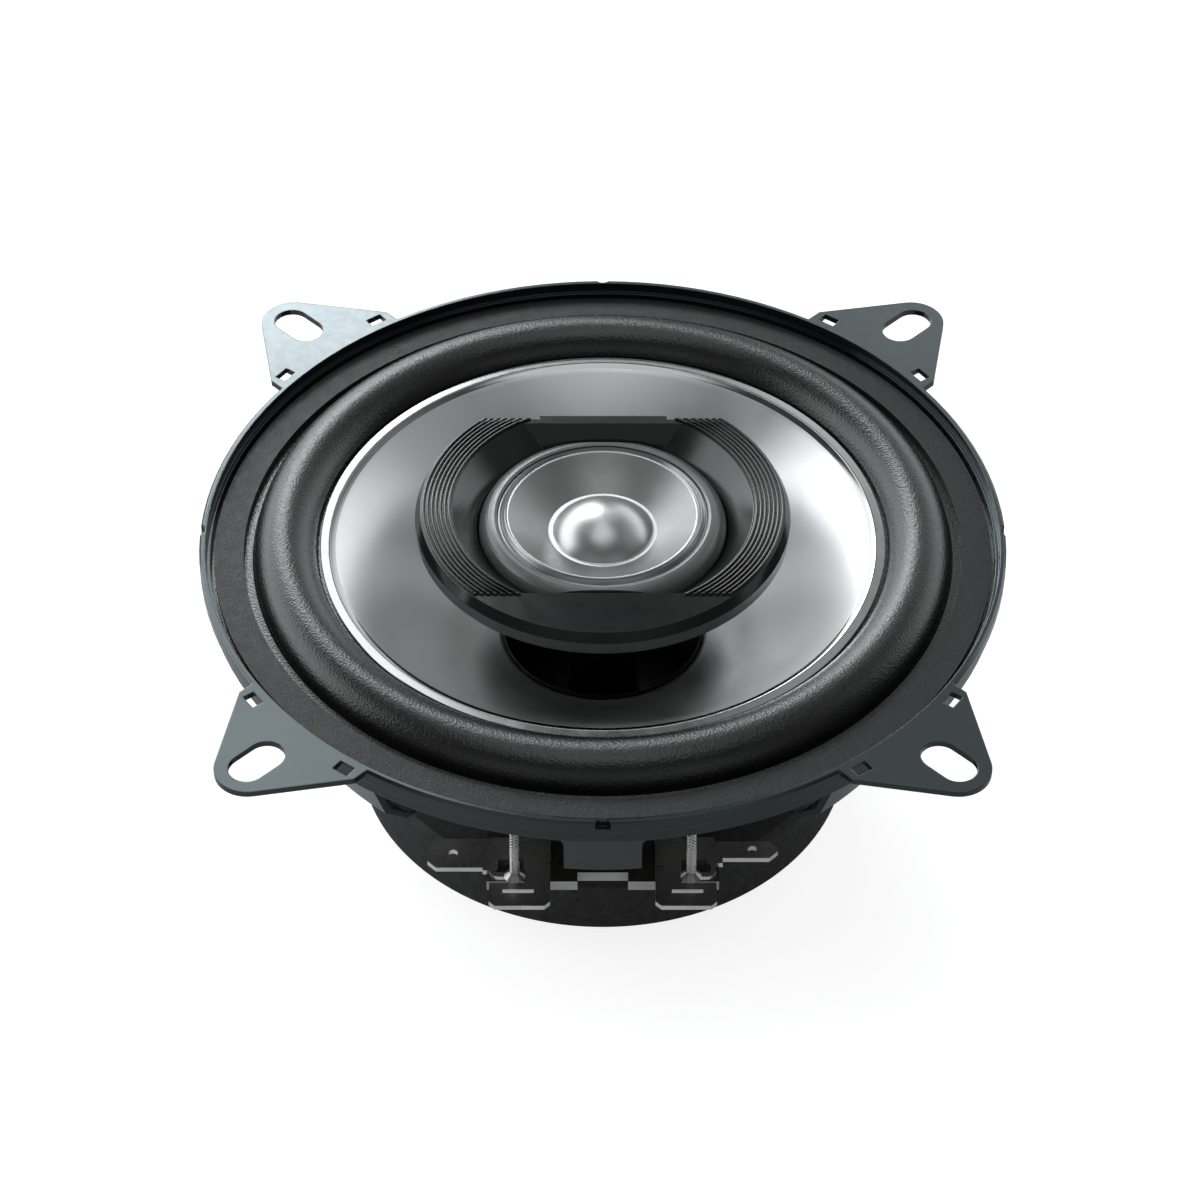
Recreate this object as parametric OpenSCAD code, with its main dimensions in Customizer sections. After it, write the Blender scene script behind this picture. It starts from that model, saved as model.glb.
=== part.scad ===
// Coaxial car speaker, 10 cm class, in millimetres.
// The origin is the centre of the mounting plane, on the underside of the four ears.
// +Z points out of the panel, towards the listener. The ears lie on the X and Y axes.
// Pieces on the terminal side are drawn with that side facing -Y and then turned by front_turn.

/* [Frame] */
// Outer radius of the rim
rim_r = 51; // [50.8:0.1:51.2]
// Thickness of the pressed sheet steel
sheet = 0.8; // [0.7:0.05:0.9]
// Distance between the centres of opposite mounting slots
slot_pitch = 116; // [115:0.5:117]
// Width of a mounting slot
slot_w = 4.6; // [4.2:0.1:4.8]
// End-to-end length of a mounting slot
slot_len = 7.5; // [6.5:0.5:8]
// Width of a basket spoke
spoke_w = 9.5; // [8:0.5:11]

/* [Cone and suspension] */
// Outer radius of the cone's flat edge
cone_r = 35.8; // [35.6:0.1:36]
// Height of the cone from its edge down to its neck
cone_depth = 16.4; // [16:0.1:16.5]
// Outer radius of the voice coil former
former_r = 12.9; // [12.8:0.05:12.95]
// Height of the surround's half roll
roll_h = 4.2; // [3.5:0.1:4.5]

/* [Magnet system] */
// Radius of the ferrite ring magnet
magnet_r = 32.4; // [30:0.1:33]
// Height of the ferrite ring magnet
magnet_h = 8.8; // [8:0.1:9]
// Radius of the back plate
back_plate_r = 28; // [26:0.5:30]

/* [Tweeter] */
// Radius of the tweeter housing
housing_r = 23.7; // [23.5:0.1:24]
// Half width of the recess across its two straight walls, at the top
flat_y = 16.2; // [16:0.1:16.4]
// Radius of the tweeter's dome
dome_r = 6.4; // [6.35:0.05:6.45]

/* [Terminals] */
// Width of the positive terminal's blade
wide_blade = 4.8; // [4.6:0.1:5]
// Width of the negative terminal's blade
narrow_blade = 2.8; // [2.6:0.1:3]
// Thickness of the terminal plates
terminal_t = 0.7; // [0.6:0.05:0.8]

/* [Hidden] */
$fn = 96;

eps = 0.01;
far = 80;               // longer than anything it has to cut
front_turn = 45;        // turns -Y to the terminal side
ears = 4;
spokes = 8;
gap_half = 180 / spokes;

// heights of the frame, from the top down
rim_top = sheet;
rim_step_z = -1;
seat_z = -2.2;          // face that the surround's flange is glued to
rim_bottom = seat_z - sheet;
gap_top = -7.9;
bend_z = -16.2;
floor_top = -18.7;
floor_bottom = floor_top - sheet;
cup_bottom = -26.7;     // the top plate's upper face

// radii of the frame
rim_in = rim_r - sheet;
rim_low_r = rim_r - 0.5;
rim_low_in = rim_low_r - sheet;
seat_in = 44.8;
wall_top_r = 47.2;
wall_bend_r = 42.8;
floor_edge_r = 39.5;
ledge_r = 32.3;         // outside of the ring that carries the spider
cup_r = 25;
cup_hole_r = 15;
gap_round = 2;

// ears
ear_tip_r = 4.2;
ear_tip_x = slot_pitch / 2 + 1.2;
ear_root_x = 51.8;
ear_root_half = 10.3;
ear_hole = [1.5, 2.2];
ear_hole_r = 52.1;
ear_hole_turn = 9;
notch_r = 1;

// magnet system
plate_r = 27.5;
plate_t = 3.5;
plate_bore_r = 13.65;
pole_r = 12.4;
pole_hole_r = 3;
magnet_top = cup_bottom - plate_t;
magnet_bottom = magnet_top - magnet_h;
back_t = 3.5;
back_bottom = magnet_bottom - back_t;
nut_pocket_r = 6;
nut_pocket_h = 3.2;
nut_r = 4.6;            // across the corners of the hexagon
rivets = 4;
rivet_ring_r = 20;
rivet_r = 1.5;
rivet_head_r = 2.4;
rivet_head_h = 0.8;

// voice coil
former_t = 0.15;
former_top = -16.2;
former_bottom = -32.3;
coil_t = 0.4;
coil_top = -24.8;
coil_bottom = -32.1;

// cone
cone_top = -0.45;
cone_t = 0.4;
cone_flat_in = 34.4;
cone_neck_r = former_r;
cone_bow = -0.15;
cone_steps = 12;

// surround
flange_t = 0.45;
flange_out = 49.4;
roll_r = 40.1;
roll_half = 4.2;
roll_z = seat_z + flange_t;
roll_t = 0.5;
roll_steps = 16;
gasket_in = 45.5;
gasket_out = 49.2;
gasket_t = 0.8;

// spider
spider_t = 0.45;
spider_out = 31.5;
spider_flat_in = 25.2;
spider_in = 13.9;
spider_waves = 4;
spider_steps = 32;
spider_h = 0.7;

// terminals, with the terminal side facing -Y
board_t = 1.5;
board_half = 14.2;
board_front = -41.7;
board_back = -26.6;
board_recess = [6.2, 1.5];
board_rivet_y = [-34.2, -37.6];
board_rivet_r = 1.1;
board_head_r = 1.5;
board_head_h = 0.5;
lead_x = 10.75;
lead_r = 0.62;

// tweeter housing
ring_top = 5;
ring_low = 4.75;        // plain parts of the top face, and the bottoms of the grooves
ring_in = 19.2;
ring_out = 23;
edge_z = 3.4;           // joint between the cover and the base
wall_low = 1.65;
recess_low_r = 15.9;
recess_low_y = 14.1;
recess_z = 1.5;
cover_bottom = 0.3;
back_cut_y = flat_y + 0.6;
tongue = [16.6, 0.7, 1.2];
grooves = 7;
groove_w = 0.22;
post_r = 4.5;
post_bore_r = 3;
post_bore_bottom = -24.5;
boss_bottom = -9.5;
post_top = -6.4;
base_floor = -5.4;

// tweeter drive
yoke_r = 8.6;
yoke_in = 7.05;
yoke_top = -1.4;
yoke_floor = -4.4;
tweeter_magnet_r = 5.8;
pole_plate_r = 6.15;
pole_plate_z = -2.9;
dome_z = 0.7;
dome_h = 3;
foil = 0.12;            // thickness of the tweeter's diaphragm
edge_in = 11.8;
edge_out = 13.25;
edge_top = 3.45;
face_seat_z = 2.9;
face_foot_r = 9.4;

// ---- helpers ----

module ring(r_out, r_in, z_low, z_high) {
    rotate_extrude() polygon([[r_in, z_low], [r_out, z_low], [r_out, z_high], [r_in, z_high]]);
}

module terminal_side() {
    rotate([0, 0, front_turn]) children();
}

// Points of an arc, from angle a0 to a1
function arc(cx, cy, r, a0, a1, n) = [for (i = [0:n]) let (a = a0 + (a1 - a0) * i / n)
    [cx + r * cos(a), cy + r * sin(a)]];

function reversed(v) = [for (i = [len(v) - 1:-1:0]) v[i]];

// A round tube swept along points p, with eight sides
sides = 8;
function unit(v) = v / norm(v);
function heading(p, i) = unit(p[min(i + 1, len(p) - 1)] - p[max(i - 1, 0)]);
function tube_ring(p, i, r) = let (d = heading(p, i), u = unit(cross(d, [1, 0, 0])), v = cross(d, u))
    [for (k = [0:sides - 1]) p[i] + r * (u * cos(360 * k / sides) + v * sin(360 * k / sides))];
function tube_points(p, r) = [for (i = [0:len(p) - 1]) each tube_ring(p, i, r)];
function tube_faces(n) = concat(
    [for (i = [0:n - 2], k = [0:sides - 1]) let (a = i * sides + k, b = i * sides + (k + 1) % sides)
        each [[a, b, b + sides], [a, b + sides, a + sides]]],
    [[for (k = [sides - 1:-1:0]) k]],
    [[for (k = [0:sides - 1]) (n - 1) * sides + k]]);

// Catmull-Rom points between the route's own points
function spline_at(a, b, c, d, t) = 0.5 * (2 * b + (c - a) * t + (2 * a - 5 * b + 4 * c - d) * t * t
    + (3 * b - a - 3 * c + d) * t * t * t);
function smooth(p, n) = [for (i = [0:len(p) - 2], k = [0:(i == len(p) - 2 ? n : n - 1)])
    spline_at(p[max(i - 1, 0)], p[i], p[i + 1], p[min(i + 2, len(p) - 1)], k / n)];

module tube(route, r, n) {
    p = smooth(route, n);
    polyhedron(tube_points(p, r), tube_faces(len(p)), convexity = 4);
}

// ---- frame ----

// What lies to the left of a spoke along +X and under the rim, with a rounded upper corner
module beside_spoke() {
    low = floor_bottom - 1;
    edge = spoke_w / 2;
    corner = arc(edge + gap_round, gap_top - gap_round, gap_round, 90, 180, 6);
    rotate([90, 0, 90])
        linear_extrude(far)
            polygon(concat([[edge, low], [far, low], [far, gap_top]], corner));
}

module basket_gap() {
    difference() {
        intersection() {
            rotate([0, 0, -gap_half]) beside_spoke();
            rotate([0, 0, gap_half]) mirror([0, 1, 0]) beside_spoke();
        }
        translate([0, 0, floor_bottom - 2]) cylinder(r = ledge_r, h = far);
    }
}

// The ear's sides run from the corners of its root to the circle of its tip
module ear_outline() {
    to_tip = [ear_tip_x - ear_root_x, -ear_root_half];
    lean = atan2(to_tip[1], to_tip[0]) + asin(ear_tip_r / norm(to_tip));
    reach = sqrt(to_tip * to_tip - ear_tip_r * ear_tip_r);
    touch = [ear_root_x + reach * cos(lean), ear_root_half + reach * sin(lean)];
    translate([ear_tip_x, 0]) circle(r = ear_tip_r);
    polygon([[seat_in, -ear_root_half], [ear_root_x, -ear_root_half], [touch[0], -touch[1]],
        [touch[0], touch[1]], [ear_root_x, ear_root_half], [seat_in, ear_root_half]]);
}

module slot_outline() {
    half = (slot_len - slot_w) / 2;
    for (s = [-1, 1]) translate([slot_pitch / 2 + s * half, 0]) circle(d = slot_w);
    translate([slot_pitch / 2 - half, -slot_w / 2]) square([2 * half, slot_w]);
}

module ear() {
    difference() {
        linear_extrude(sheet) ear_outline();
        translate([0, 0, -1]) linear_extrude(sheet + 2) slot_outline();
        translate([0, 0, -1]) cylinder(r = rim_in + 0.2, h = sheet + 2);
        for (s = [-1, 1])
            rotate([0, 0, s * ear_hole_turn])
                translate([ear_hole_r - ear_hole[0] / 2, -ear_hole[1] / 2, -1])
                    cube([ear_hole[0], ear_hole[1], sheet + 2]);
    }
}

module pressed_profile() {
    bevel = 0.3;
    polygon([[rim_in, rim_top], [rim_r - bevel, rim_top], [rim_r, rim_top - bevel], [rim_r, rim_step_z],
        [rim_low_r, rim_step_z], [rim_low_r, rim_bottom], [wall_top_r, rim_bottom],
        [wall_bend_r, bend_z], [floor_edge_r, floor_bottom], [cup_r + sheet, floor_bottom],
        [cup_r + sheet, cup_bottom], [cup_hole_r, cup_bottom], [cup_hole_r, cup_bottom + sheet],
        [cup_r, cup_bottom + sheet], [cup_r, floor_top], [floor_edge_r - 0.35, floor_top],
        [wall_bend_r - 0.85, bend_z + 0.3], [wall_top_r - 0.85, rim_bottom], [seat_in, rim_bottom],
        [seat_in, seat_z], [rim_low_in, seat_z], [rim_low_in, rim_step_z + 0.4],
        [rim_in, rim_step_z + 0.4]]);
}

module basket() {
    color([0.16, 0.21, 0.22])
    difference() {
        union() {
            rotate_extrude() pressed_profile();
            for (i = [0:ears - 1]) rotate([0, 0, i * 360 / ears]) ear();
        }
        for (i = [0:spokes - 1]) rotate([0, 0, (i + 0.5) * 360 / spokes]) basket_gap();
        for (i = [0:ears - 1])
            rotate([0, 0, front_turn + i * 360 / ears])
                translate([rim_r + 0.35, 0, -0.4]) cylinder(r = notch_r, h = 2);
        for (i = [0:rivets - 1])
            rotate([0, 0, i * 360 / rivets])
                translate([rivet_ring_r, 0, cup_bottom - 1]) cylinder(r = rivet_r, h = sheet + 2);
        terminal_side()
            for (y = board_rivet_y)
                translate([0, y, floor_bottom - 1]) cylinder(r = board_rivet_r, h = sheet + 2);
    }
}

module gasket() {
    color([0.13, 0.13, 0.13])
    ring(gasket_out, gasket_in, seat_z + flange_t, seat_z + flange_t + gasket_t);
}

// ---- magnet system ----

module top_plate() {
    color([0.55, 0.55, 0.5])
    difference() {
        ring(plate_r, plate_bore_r, magnet_top, cup_bottom);
        for (i = [0:rivets - 1])
            rotate([0, 0, i * 360 / rivets])
                translate([rivet_ring_r, 0, magnet_top - 1]) cylinder(r = rivet_r, h = plate_t + 2);
    }
}

module magnet() {
    bevel = 0.7;
    hole = 16;
    color([0.22, 0.22, 0.22])
    rotate_extrude()
        polygon([[hole, magnet_bottom], [magnet_r - bevel, magnet_bottom],
            [magnet_r, magnet_bottom + bevel], [magnet_r, magnet_top - bevel],
            [magnet_r - bevel, magnet_top], [hole, magnet_top]]);
}

module back_plate() {
    bevel = 0.8;
    color([0.55, 0.55, 0.5])
    difference() {
        rotate_extrude()
            polygon([[pole_hole_r, back_bottom], [back_plate_r - bevel, back_bottom],
                [back_plate_r, back_bottom + bevel], [back_plate_r, magnet_bottom],
                [pole_r, magnet_bottom], [pole_r, cup_bottom], [pole_hole_r, cup_bottom]]);
        translate([0, 0, back_bottom - 1]) cylinder(r = nut_pocket_r, h = nut_pocket_h + 1);
    }
}

module plate_rivets() {
    color([0.7, 0.7, 0.68])
    for (i = [0:rivets - 1])
        rotate([0, 0, i * 360 / rivets])
            translate([rivet_ring_r, 0, 0]) {
                translate([0, 0, magnet_top])
                    cylinder(r = rivet_r, h = plate_t + sheet + rivet_head_h / 2);
                translate([0, 0, cup_bottom + sheet])
                    cylinder(r1 = rivet_head_r, r2 = rivet_r, h = rivet_head_h);
            }
}

// ---- cone, voice coil and suspension ----

// Upper face of the cone, from its edge (t = 0) to its neck (t = 1)
function cone_r_at(t) = cone_flat_in - t * (cone_flat_in - cone_neck_r);
function cone_z_at(t) = cone_top - cone_depth * (t + cone_bow * t * (1 - t));

module cone_profile() {
    upper = [for (i = [0:cone_steps]) let (t = i / cone_steps) [cone_r_at(t), cone_z_at(t)]];
    lower = [for (p = upper) [p[0], p[1] - cone_t]];
    polygon(concat([[cone_r, cone_top - cone_t], [cone_r, cone_top]], upper, reversed(lower)));
}

// Where the tweeter's leads pass through the cone, with the terminal side facing -Y
eyelet_r = 0.9;
eyelet_half = 1.6;      // half the eyelet's height
eyelet_x = 6;
eyelet_y = 16;
eyelet_at = (cone_flat_in - norm([eyelet_x, eyelet_y])) / (cone_flat_in - cone_neck_r);
eyelet_z = cone_z_at(eyelet_at) - cone_t;

module eyelet_places() {
    terminal_side()
        for (s = [-1, 1]) translate([s * eyelet_x, eyelet_y, eyelet_z - eyelet_half / 2]) children();
}

module cone() {
    color([0.72, 0.73, 0.74])
    difference() {
        rotate_extrude() cone_profile();
        eyelet_places() cylinder(r = eyelet_r, h = 2 * eyelet_half);
    }
}

module cone_eyelets() {
    color([0.75, 0.62, 0.3])
    eyelet_places() cylinder(r = eyelet_r, h = 2 * eyelet_half);
}

module coil_former() {
    color([0.55, 0.4, 0.2])
    ring(former_r, former_r - former_t, former_bottom, former_top);
}

module voice_coil() {
    color([0.65, 0.32, 0.15])
    ring(former_r + coil_t, former_r, coil_bottom, coil_top);
}

// Adhesive pads that fix the tinsel leads under the cone
pad_y = -15.6;
pad_r = 1.5;
pad_low = -14.6;
pad_h = 4;              // before the cone trims it
module lead_pads() {
    color([0.05, 0.05, 0.05])
    difference() {
        terminal_side()
            for (s = [-1, 1]) translate([s * lead_x, pad_y, pad_low]) cylinder(r = pad_r, h = pad_h);
        rotate_extrude()
            polygon(concat([for (i = [0:cone_steps]) let (t = i / cone_steps)
                [cone_r_at(t), cone_z_at(t) - cone_t]], [[cone_neck_r, far], [cone_flat_in, far]]));
    }
}

module surround() {
    foot_z = cone_top - cone_t;
    foot_in = cone_flat_in + 0.1;
    // the roll ends where it comes down to the cone's edge
    roll_end = 180 - asin((foot_z - roll_z) / roll_h);
    over = [for (i = [0:roll_steps]) let (a = roll_end * i / roll_steps)
        [roll_r + roll_half * cos(a), roll_z + roll_h * sin(a)]];
    under = [for (i = [0:roll_steps]) let (a = roll_end * i / roll_steps)
        [roll_r + (roll_half - roll_t) * cos(a), seat_z + roll_h * sin(a)]];
    color([0.05, 0.05, 0.05])
    rotate_extrude()
        polygon(concat([[flange_out, seat_z], [flange_out, roll_z]], over,
            [[foot_in, foot_z], [foot_in, foot_z - flange_t]], reversed(under)));
}

module spider() {
    mid = floor_top + spider_t / 2;
    span = spider_flat_in - spider_in;
    wave = [for (i = [0:spider_steps]) let (t = i / spider_steps)
        [spider_flat_in - t * span, mid + spider_h * sin(360 * spider_waves * t)]];
    collar = former_r + spider_t;
    collar_h = 0.8;
    color([0.75, 0.6, 0.3])
    rotate_extrude()
        polygon(concat([[spider_out, mid - spider_t / 2], [spider_out, mid + spider_t / 2]],
            [for (p = wave) [p[0], p[1] + spider_t / 2]],
            [[collar, mid + spider_t / 2], [collar, mid + collar_h], [former_r, mid + collar_h],
                [former_r, mid - spider_t / 2]],
            [for (p = reversed(wave)) [p[0], p[1] - spider_t / 2]]));
}

// ---- terminals ----

module terminal_board() {
    color([0.08, 0.08, 0.08])
    terminal_side()
    difference() {
        translate([-board_half, board_front, floor_bottom - board_t])
            cube([2 * board_half, board_back - board_front, board_t]);
        translate([-board_recess[0] / 2, board_front - 1, floor_bottom - board_t - 1])
            cube([board_recess[0], board_recess[1] + 1, board_t + 2]);
        translate([0, 0, floor_bottom - board_t - 1]) cylinder(r = cup_r + sheet, h = board_t + 2);
        for (y = board_rivet_y)
            translate([0, y, floor_bottom - board_t - 1]) cylinder(r = board_rivet_r, h = board_t + 2);
    }
}

module board_rivets() {
    grip = sheet + board_t;
    color([0.7, 0.7, 0.68])
    terminal_side()
    for (y = board_rivet_y)
        translate([0, y, floor_top - grip]) {
            cylinder(r = board_rivet_r, h = grip);
            translate([0, 0, grip]) cylinder(r1 = board_head_r, r2 = board_rivet_r, h = board_head_h);
            translate([0, 0, -board_head_h])
                cylinder(r1 = board_rivet_r, r2 = board_head_r, h = board_head_h);
        }
}

// One stamped terminal, drawn to the right of the spoke: a foot in front of the board, a hook that
// opens towards the spoke to take the lead, and a blade that points outwards
module terminal_outline(blade_w, blade_front, step_front) {
    foot_in = 6.4;
    outer = 13.85;
    foot_front = -46.3;
    foot_back = -42.5;
    web = 9.6;
    hook_back = -38.75;
    hook_in = -40.75;
    hook_front = -41.55;
    prong = 11.6;
    bar = 13.2;
    rear = -35;
    bevel = 0.7;
    hook_round = 1.1;
    step_out = 14.7;
    tip = 21.5;
    lean = 1.1;
    blade_back = blade_front + blade_w;
    hook_corner = arc(outer - hook_round, hook_front + hook_round, hook_round, -90, 0, 5);
    difference() {
        union() {
            polygon(concat([[foot_in, foot_front + bevel], [foot_in + bevel, foot_front],
                [outer - bevel, foot_front], [outer, foot_front + bevel], [outer, foot_back],
                [web, foot_back], [web, hook_back], [bar, hook_back], [bar, hook_in],
                [prong, hook_in], [prong, hook_front]], hook_corner,
                [[outer, rear], [foot_in, rear]]));
            polygon([[outer - 1, step_front], [step_out, step_front], [step_out, blade_front],
                [tip - lean, blade_front], [tip, blade_front + lean], [tip, blade_back - lean],
                [tip - lean, blade_back], [outer - 1, blade_back]]);
        }
        translate([8.4, -44.2]) square([3.8, 0.6]);
        translate([18.4, blade_front + blade_w / 2]) circle(r = 0.6, $fn = 24);
    }
}

module terminal_negative() {
    color([0.8, 0.8, 0.78])
    terminal_side()
    translate([0, 0, floor_bottom])
        linear_extrude(terminal_t) terminal_outline(narrow_blade, -38.45, -39.3);
}

module terminal_positive() {
    color([0.8, 0.8, 0.78])
    terminal_side()
    mirror([1, 0, 0])
    translate([0, 0, floor_bottom])
        linear_extrude(terminal_t) terminal_outline(wide_blade, -40.05, -40.5);
}

// Each joint fills the hook round its lead and spreads over the terminal's top
solder_y = -41.35;
solder_core_r = 0.72;
solder_r = 1.3;
solder_h = 0.7;
module solder_joints() {
    color([0.75, 0.75, 0.73])
    terminal_side()
    for (s = [-1, 1])
        translate([s * lead_x, solder_y, floor_bottom]) {
            cylinder(r = solder_core_r, h = terminal_t);
            translate([0, 0, terminal_t]) cylinder(r1 = solder_r, r2 = lead_r, h = solder_h);
        }
}

// Tinsel leads, from the pad under the cone out through the basket to the solder joint
tinsel_route = [[10.75, -15.6, -14.7], [10.75, -15.66, -15.4], [10.75, -17, -16.25],
    [10.75, -20.5, -16.35], [10.75, -25, -15.2], [10.75, -30, -13.2], [10.75, -35, -11.9],
    [10.75, -38.6, -12.2], [10.75, -40.7, -13.8], [10.75, -41.3, -16], [10.75, -41.35, -18.1]];
tinsel_smoothing = 6;

module tinsel_lead_negative() {
    color([0.8, 0.8, 0.8])
    terminal_side() tube(tinsel_route, lead_r, tinsel_smoothing);
}

module tinsel_lead_positive() {
    route = [for (p = tinsel_route) [-p[0], p[1], p[2]]];
    color([0.8, 0.8, 0.8])
    terminal_side() tube(route, lead_r, tinsel_smoothing);
}

// ---- tweeter ----

module tweeter_post() {
    spigot_r = pole_hole_r - 0.05;
    spigot_end = back_bottom + 0.4;
    color([0.3, 0.3, 0.3])
    difference() {
        union() {
            translate([0, 0, spigot_end]) cylinder(r = spigot_r, h = cup_bottom - spigot_end + eps);
            translate([0, 0, cup_bottom]) cylinder(r = post_r, h = post_top - cup_bottom);
        }
        translate([0, 0, post_bore_bottom]) cylinder(r = post_bore_r, h = far);
    }
}

module post_nut() {
    color([0.7, 0.68, 0.5])
    translate([0, 0, back_bottom + nut_pocket_h - 2.6])
    difference() {
        cylinder(r = nut_r, h = 2.6, $fn = 6);
        translate([0, 0, -1]) cylinder(r = pole_hole_r - 0.05, h = 5);
    }
}

module capacitor() {
    can_r = 2.5;
    can_h = 11;
    color([0.1, 0.15, 0.3])
    translate([0, 0, post_bore_bottom]) cylinder(r = can_r, h = can_h);
}

// Removes what lies behind the housing's flat back, with the terminal side facing -Y
module flat_back() {
    terminal_side() translate([-far / 2, back_cut_y, -far / 2]) cube([far, far, far]);
}

module tweeter_base() {
    wall_r = housing_r - 0.15;
    joint_gap = 0.1;
    wall_t = 1;
    wire_hole_r = 0.9;
    color([0.04, 0.04, 0.04])
    difference() {
        rotate_extrude()
            polygon([[wall_r - 0.4, edge_z], [wall_r - 0.4, edge_z - joint_gap], [wall_r, edge_z - joint_gap],
                [wall_r, wall_low], [22.4, 0.5], [19.6, -2], [15.5, -4.2], [10.5, -5.9], [7.5, -6.9],
                [6.5, boss_bottom], [post_r + 0.05, boss_bottom], [post_r + 0.05, post_top],
                [0, post_top], [0, edge_z]]);
        difference() {
            rotate_extrude()
                polygon([[0, base_floor], [face_foot_r, base_floor], [10.3, -4.6], [15, -3], [18.9, -1.2],
                    [21.6, 1.2], [22.3, 1.9], [22.3, edge_z + 1], [0, edge_z + 1]]);
            terminal_side()
                translate([-far / 2, back_cut_y - wall_t, base_floor + 2]) cube([far, far, far]);
        }
        rotate_extrude() cover_underside(0.03);
        translate([0, 0, post_top - 1]) cylinder(r = 2, h = 3);
        terminal_side()
            for (s = [-1, 1]) translate([s * 5.2, 11, -8]) cylinder(r = wire_hole_r, h = 6);
        flat_back();
    }
}

// Section of the part of the cover that drops into the base, with room round it
module cover_underside(room) {
    polygon([[0, cover_bottom - room], [16.9 + room, cover_bottom - room], [20.3 + room, edge_z + room],
        [0, edge_z + room]]);
}

// Space inside the cover's rim: a cone with two straight walls, all leaning outwards
module recess() {
    intersection() {
        rotate_extrude()
            polygon([[0, recess_z], [recess_low_r, recess_z], [ring_in, ring_top],
                [ring_in, ring_top + 1], [0, ring_top + 1]]);
        terminal_side()
            translate([-far / 2, 0, 0]) rotate([90, 0, 90])
                linear_extrude(far)
                    polygon([[-recess_low_y, recess_z], [recess_low_y, recess_z], [flat_y, ring_top],
                        [flat_y, ring_top + 1], [-flat_y, ring_top + 1], [-flat_y, ring_top]]);
    }
}

module tweeter_cover() {
    pitch = (ring_out - ring_in) / grooves;
    color([0.03, 0.03, 0.03])
    difference() {
        union() {
            rotate_extrude() cover_underside(0);
            rotate_extrude()
                polygon([[0, edge_z], [housing_r, edge_z], [ring_out, ring_low], [0, ring_low]]);
            intersection() {
                for (i = [0:grooves - 1])
                    ring(ring_out - i * pitch - groove_w, ring_out - (i + 1) * pitch, ring_low - eps,
                        ring_top);
                terminal_side()
                    translate([-far / 2, -flat_y - 0.2, 0]) cube([far, 2 * flat_y + 0.8, ring_top + 1]);
            }
        }
        recess();
        intersection() {
            translate([0, 0, -1]) cylinder(r = recess_low_r, h = 4);
            terminal_side()
                translate([-far / 2, -recess_low_y, -1]) cube([far, 2 * recess_low_y, 4]);
        }
        flat_back();
    }
    color([0.03, 0.03, 0.03])
    terminal_side()
        translate([-tongue[0] / 2, back_cut_y, ring_low - tongue[2]]) cube(tongue);
}

module tweeter_face() {
    shoulder = arc(13.5, 1.2, 2.2, 0, 85, 8);
    color([0.42, 0.43, 0.43])
    difference() {
        rotate_extrude()
            polygon(concat([[yoke_r, base_floor], [face_foot_r, base_floor], [face_foot_r, -3.4],
                [10.6, -1.2], [15.7, -1.2]], shoulder,
                [[13.35, 3.3], [13.3, face_seat_z], [12.2, face_seat_z], [12.2, 0], [yoke_r, -0.2]]));
        terminal_side()
            for (s = [-1, 1])
                translate([-far / 2, s > 0 ? recess_low_y - 0.1 : -far - recess_low_y + 0.1, 0.2])
                    cube([far, far, far]);
    }
}

module tweeter_yoke() {
    color([0.6, 0.58, 0.45])
    rotate_extrude()
        polygon([[0, base_floor], [yoke_r, base_floor], [yoke_r, yoke_top], [yoke_in, yoke_top],
            [yoke_in, yoke_floor], [0, yoke_floor]]);
}

module tweeter_magnet() {
    color([0.7, 0.7, 0.72])
    translate([0, 0, yoke_floor]) cylinder(r = tweeter_magnet_r, h = pole_plate_z - yoke_floor);
}

module tweeter_pole_plate() {
    color([0.6, 0.58, 0.45])
    translate([0, 0, pole_plate_z]) cylinder(r = pole_plate_r, h = yoke_top - pole_plate_z);
}

module tweeter_edge() {
    color([0.35, 0.36, 0.36])
    rotate_extrude()
        polygon([[edge_in, edge_top - foil], [12.25, edge_top - 0.15], [12.3, face_seat_z],
            [edge_out, face_seat_z], [edge_out, face_seat_z + 0.25], [12.7, edge_top],
            [12.2, edge_top + 0.1], [edge_in, edge_top]]);
}

// Leads from the cone's eyelets up to the housing, hidden behind the post
tweeter_lead_route = [[6, 16, -10.85], [6, 16.2, -9.6], [5.9, 15.2, -8.5], [5.6, 13, -7.9],
    [5.2, 11.3, -6.9], [5.2, 11, -4.8]];

module tweeter_leads() {
    color([0.7, 0.7, 0.7])
    terminal_side()
    for (s = [-1, 1]) {
        route = [for (p = tweeter_lead_route) [s * p[0], p[1], p[2]]];
        tube(route, 0.4, 4);
    }
}

module tweeter_cone() {
    inner = dome_r + 0.5;
    color([0.6, 0.61, 0.62])
    rotate_extrude()
        polygon([[inner, dome_z - foil], [edge_in, edge_top - foil], [edge_in, edge_top],
            [inner, dome_z]]);
}

module tweeter_dome() {
    sphere_r = (dome_r * dome_r + dome_h * dome_h) / (2 * dome_h);
    color([0.8, 0.8, 0.8]) {
        intersection() {
            translate([0, 0, dome_z + dome_h - sphere_r])
                difference() {
                    sphere(r = sphere_r);
                    sphere(r = sphere_r - foil);
                }
            translate([0, 0, dome_z]) cylinder(r = dome_r, h = dome_h + 1);
        }
        ring(dome_r + 0.5, dome_r - foil, dome_z - foil, dome_z);
    }
}

module tweeter_former() {
    color([0.55, 0.4, 0.2])
    ring(dome_r + 0.1, dome_r, -2.8, dome_z - foil);
}

module tweeter_coil() {
    color([0.65, 0.32, 0.15])
    ring(dome_r + 0.35, dome_r + 0.1, -2.7, -1.3);
}

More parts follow.
